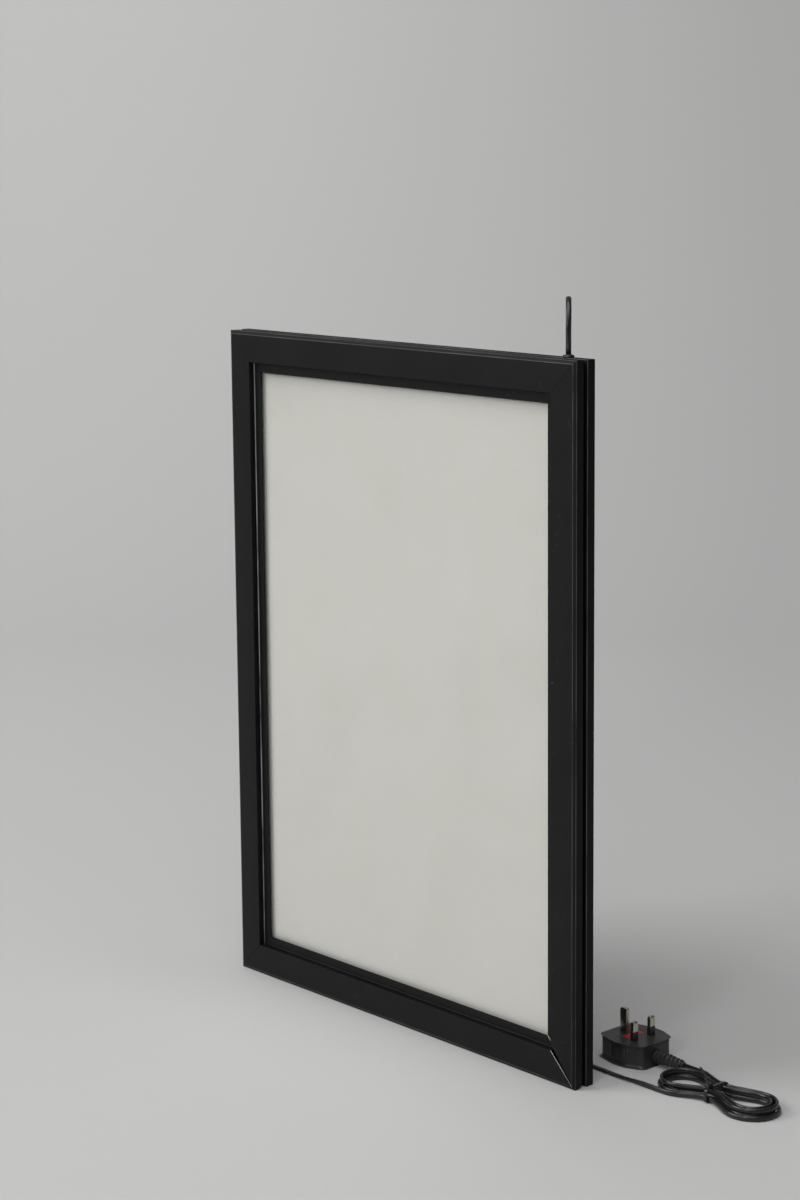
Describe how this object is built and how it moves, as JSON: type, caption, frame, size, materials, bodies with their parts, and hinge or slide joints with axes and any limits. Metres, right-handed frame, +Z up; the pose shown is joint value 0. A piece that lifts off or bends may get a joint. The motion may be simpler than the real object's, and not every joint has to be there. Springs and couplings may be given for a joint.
{
  "type": "led poster light box",
  "caption": "Slim edge-lit poster light box with a black four-sided snap frame, opal panel, rear frame, and a mains lead tied in a hank with a moulded plug.",
  "frame": {"origin": "centre of the box's footprint, at the surface it stands on", "axes": "+Z up along the long sides, -Y out of the lit front, +X to the right as seen from the front"},
  "size_m": [0.6276, 0.1255, 0.6901],
  "materials": {
    "rail_black": "matt black powder coat",
    "bare_alloy": "cast, bare",
    "steel": "bright zinc",
    "back_black": "fine matt",
    "sheet_white": "white, satin",
    "acrylic_clear": "clear, polished edges",
    "opal": "opal, unlit, slightly glossy",
    "cover_clear": "clear, faintly hazed",
    "board_white": "white solder mask",
    "led_yellow": "phosphor",
    "wire_red": "satin",
    "nylon_white": "satin",
    "cap_grey": "fine matt",
    "board_green": "green solder mask",
    "rubber_black": "satin",
    "lead_black": "smooth, slightly glossy",
    "tie_black": "satin nylon",
    "plug_grey": "fine spark-eroded",
    "fuse_red": "satin",
    "pin_metal": "nickel plated"
  },
  "bodies": {
    "root": {"base_rail_top": "rail_black", "base_rail_bottom": "rail_black", "base_rail_left": "rail_black", "base_rail_right": "rail_black", "corner_keys": "bare_alloy", "corner_key_screws": "steel", "back_panel": "back_black", "back_panel_screws": "steel", "reflector_sheet": "sheet_white", "light_guide_plate": "acrylic_clear", "diffuser_sheet": "opal", "cover_sheet": "cover_clear", "led_boards": "board_white", "led_chips": "led_yellow", "led_wires": "wire_red", "driver_case": "nylon_white", "driver_end_caps": "cap_grey", "driver_board": "board_green", "terminal_block": "nylon_white", "cord_clamp_base": "nylon_white", "cord_clamp_saddle": "nylon_white", "cord_clamp_screws": "steel", "grommet": "rubber_black", "lead_inside": "lead_black", "leaf_springs": "steel", "lead": "lead_black", "lead_hank": "lead_black", "cable_tie": "tie_black", "plug_body": "plug_grey", "plug_strain_relief": "plug_grey", "plug_fuse_carrier": "fuse_red", "plug_live_neutral_pins": "pin_metal", "plug_pin_sleeves": "plug_grey", "plug_earth_pin": "pin_metal"},
    "snap_top": {"snap_rail_top": "rail_black"},
    "snap_bottom": {"snap_rail_bottom": "rail_black"},
    "snap_left": {"snap_rail_left": "rail_black"},
    "snap_right": {"snap_rail_right": "rail_black"}
  },
  "joints": [
    {"name": "snap_top_hinge", "type": "hinge", "parent": "root", "child": "snap_top", "pos_m": [0, -0.0031, 0.6377], "axis": [-1, 0, 0], "range_deg": [0, 100]},
    {"name": "snap_bottom_hinge", "type": "hinge", "parent": "root", "child": "snap_bottom", "pos_m": [0, -0.0031, 0.0023], "axis": [1, 0, 0], "range_deg": [0, 100]},
    {"name": "snap_left_hinge", "type": "hinge", "parent": "root", "child": "snap_left", "pos_m": [-0.2307, -0.0031, 0.32], "axis": [0, 0, -1], "range_deg": [0, 100]},
    {"name": "snap_right_hinge", "type": "hinge", "parent": "root", "child": "snap_right", "pos_m": [0.2307, -0.0031, 0.32], "axis": [0, 0, 1], "range_deg": [0, 100]}
  ]
}
